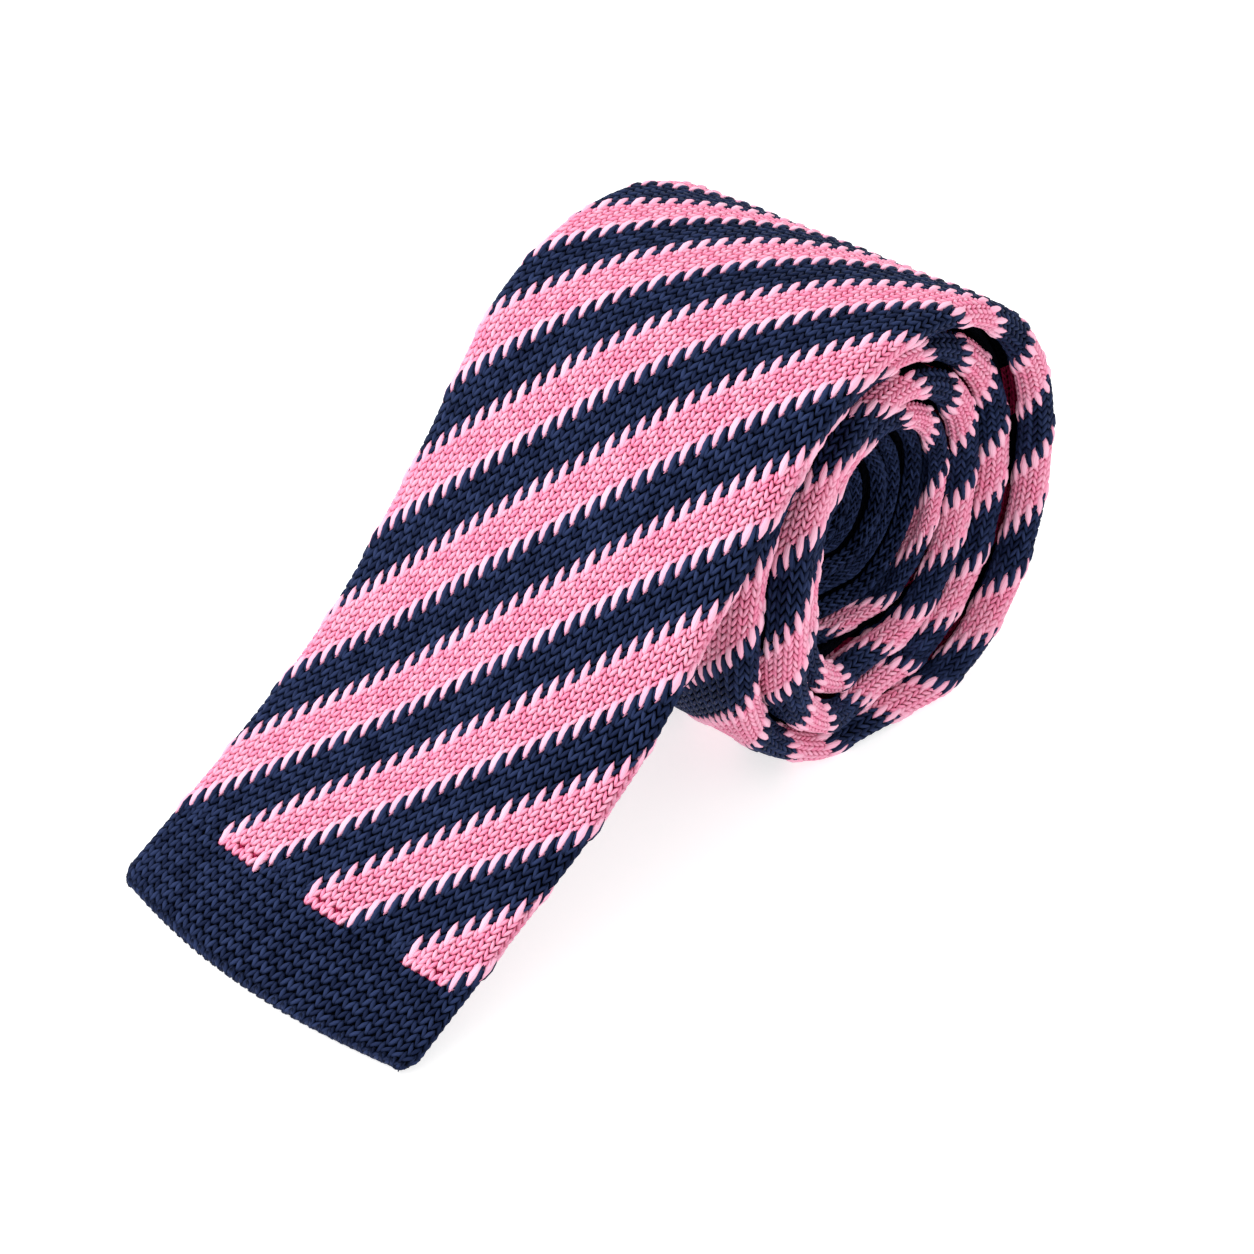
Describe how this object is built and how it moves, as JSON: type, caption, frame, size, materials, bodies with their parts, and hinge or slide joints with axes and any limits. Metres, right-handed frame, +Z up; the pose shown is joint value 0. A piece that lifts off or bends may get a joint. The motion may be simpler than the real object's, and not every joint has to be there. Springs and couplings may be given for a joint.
{
  "type": "rolled knit tie",
  "caption": "Slim knitted necktie, folded in half and rolled, its square-ended blade drawn out and sloping down to the surface.",
  "frame": {"origin": "under the middle of the tie's box, on the surface that it rests on", "axes": "+X across the band, along the roll's axis; +Y from the blade's tip towards the roll; +Z up"},
  "size_m": [0.0698, 0.1382, 0.0707],
  "materials": {
    "navy_yarn": "stockinette knit of smooth, slightly glossy navy yarn",
    "pink_yarn": "stockinette knit of smooth, slightly glossy pink yarn, in diagonal stripes"
  },
  "bodies": {
    "root": {"knit_tie": "navy_yarn"}
  },
  "joints": []
}
